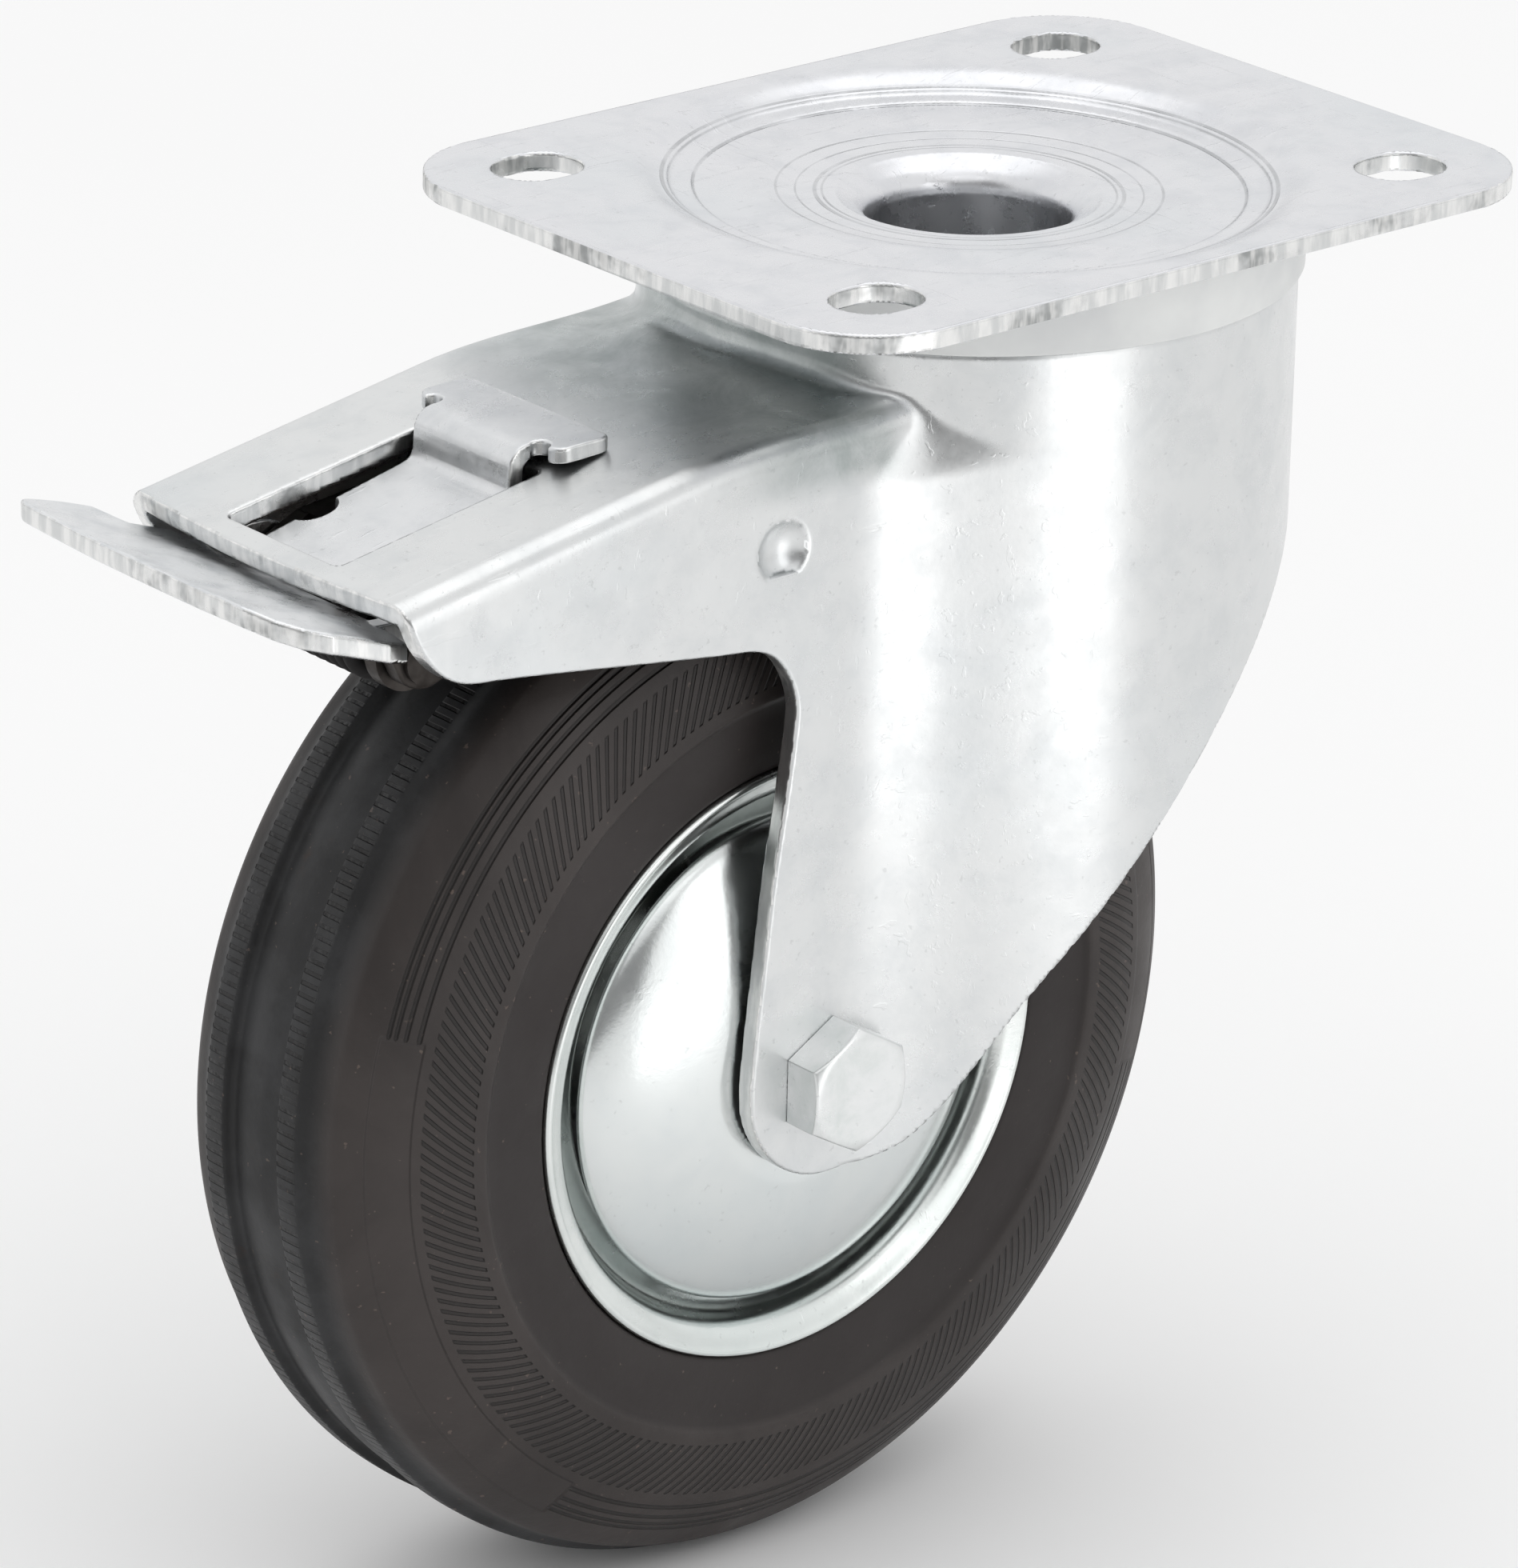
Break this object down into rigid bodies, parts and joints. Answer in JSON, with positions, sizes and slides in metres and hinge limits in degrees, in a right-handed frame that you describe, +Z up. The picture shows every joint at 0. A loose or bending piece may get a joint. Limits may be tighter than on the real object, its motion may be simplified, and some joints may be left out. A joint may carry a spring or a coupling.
{
  "type": "braked swivel castor",
  "caption": "Braked swivel castor with a slotted top plate, a pressed fork, a solid rubber tyred wheel and a foot pedal that locks wheel and swivel.",
  "frame": {"origin": "centre of the top plate's top face, on the swivel axis", "axes": "+Z up out of the top plate, the wheel trails and the pedal points towards -X at rest, the axle lies along Y with the bolt's head at -Y"},
  "size_m": [0.1669, 0.082, 0.155],
  "materials": {
    "zinc_sheet": "bright zinc plate with a faint blue and rainbow film",
    "zinc_part": "dull zinc plate",
    "hardened": "bright hardened steel",
    "fastener": "bright zinc plate",
    "seal": "pale grey, matte",
    "tyre": "black rubber, slightly dusty"
  },
  "bodies": {
    "mounting": {"top_plate": "zinc_sheet", "kingpin_cup": "zinc_part", "lock_ring": "zinc_part"},
    "upper_ball_ring": {"upper_balls": "hardened"},
    "lower_ball_ring": {"lower_balls": "hardened"},
    "fork": {"fork": "zinc_sheet", "dust_seal": "seal", "spring_leaf": "zinc_sheet", "axle_bolt": "fastener", "axle_nut": "fastener", "bolt_washer": "fastener", "axle_sleeve": "zinc_part"},
    "wheel": {"tyre": "tyre", "rim_near": "zinc_sheet", "rim_far": "zinc_sheet", "rim_rivets": "zinc_part", "hub_tube": "zinc_part", "cover_near": "zinc_sheet", "cover_far": "zinc_sheet"},
    "roller_set": {"roller_cage": "zinc_part", "rollers": "hardened"},
    "brake_lever": {"brake_lever": "zinc_sheet", "brake_shoe": "zinc_part", "lock_tooth": "zinc_part", "pedal_spring": "hardened"},
    "pedal": {"brake_pedal": "zinc_sheet", "pedal_pin": "hardened"}
  },
  "joints": [
    {"name": "swivel", "type": "hinge", "parent": "mounting", "child": "fork", "pos_m": [0, 0, 0], "axis": [0, 0, 1], "continuous": true},
    {"name": "upper_ball_orbit", "type": "hinge", "parent": "mounting", "child": "upper_ball_ring", "pos_m": [0, 0, -0.007], "axis": [0, 0, 1], "continuous": true},
    {"name": "lower_ball_orbit", "type": "hinge", "parent": "mounting", "child": "lower_ball_ring", "pos_m": [0, 0, -0.0139], "axis": [0, 0, 1], "continuous": true},
    {"name": "wheel_spin", "type": "hinge", "parent": "fork", "child": "wheel", "pos_m": [-0.039, 0, -0.0925], "axis": [0, 1, 0], "continuous": true},
    {"name": "roller_orbit", "type": "hinge", "parent": "fork", "child": "roller_set", "pos_m": [-0.039, 0, -0.0925], "axis": [0, 1, 0], "continuous": true},
    {"name": "brake_lever_pivot", "type": "hinge", "parent": "fork", "child": "brake_lever", "pos_m": [-0.0476, 0, -0.0283], "axis": [0, -1, 0], "range_deg": [0, 4]},
    {"name": "pedal_pivot", "type": "hinge", "parent": "brake_lever", "child": "pedal", "pos_m": [-0.0905, 0, -0.033], "axis": [0, -1, 0], "range_deg": [0, 34]}
  ],
  "couplings": [
    {"joint": "upper_ball_orbit", "follows": "swivel", "ratio": 0.5},
    {"joint": "lower_ball_orbit", "follows": "swivel", "ratio": 0.5},
    {"joint": "roller_orbit", "follows": "wheel_spin", "ratio": 0.611},
    {"joint": "brake_lever_pivot", "follows": "pedal_pivot", "ratio": 0.1176}
  ]
}
